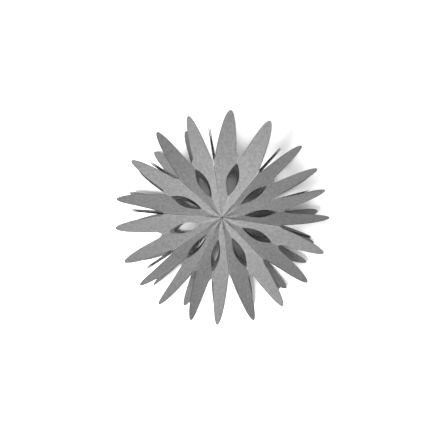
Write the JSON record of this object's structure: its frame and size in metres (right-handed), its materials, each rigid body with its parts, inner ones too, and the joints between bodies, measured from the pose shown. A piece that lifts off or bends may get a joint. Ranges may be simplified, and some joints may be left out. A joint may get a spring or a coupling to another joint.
{
  "type": "paper snowflake star",
  "caption": "Three-dimensional paper star of folded card units glued round an axis, with pointed leaves at the front, middle and back and lens-shaped holes on its valley folds.",
  "frame": {"origin": "middle of the star's bounding box at the surface it lies on; its axis passes within 1 mm of it", "axes": "+Z along the star's axis, from the back apex to the front apex; +X and +Y across the leaves, +Y towards the tallest front leaf"},
  "size_m": [0.1424, 0.1418, 0.071],
  "materials": {
    "cardstock": "matte grey cardstock with fine fibre grain and lighter cut edges",
    "adhesive_tape": "clear double-sided tape"
  },
  "bodies": {
    "root": {"card_unit_01": "cardstock", "card_unit_02": "cardstock", "card_unit_03": "cardstock", "card_unit_04": "cardstock", "card_unit_05": "cardstock", "card_unit_06": "cardstock", "card_unit_07": "cardstock", "card_unit_08": "cardstock", "card_unit_09": "cardstock", "card_unit_10": "cardstock", "spine_tape_01": "adhesive_tape", "spine_tape_02": "adhesive_tape", "spine_tape_03": "adhesive_tape", "spine_tape_04": "adhesive_tape", "spine_tape_05": "adhesive_tape", "spine_tape_06": "adhesive_tape", "spine_tape_07": "adhesive_tape", "spine_tape_08": "adhesive_tape", "spine_tape_09": "adhesive_tape", "spine_tape_10": "adhesive_tape", "middle_tape_01": "adhesive_tape", "middle_tape_02": "adhesive_tape", "middle_tape_03": "adhesive_tape", "middle_tape_04": "adhesive_tape", "middle_tape_05": "adhesive_tape", "middle_tape_06": "adhesive_tape", "middle_tape_07": "adhesive_tape", "middle_tape_08": "adhesive_tape", "middle_tape_09": "adhesive_tape", "middle_tape_10": "adhesive_tape"}
  },
  "joints": []
}
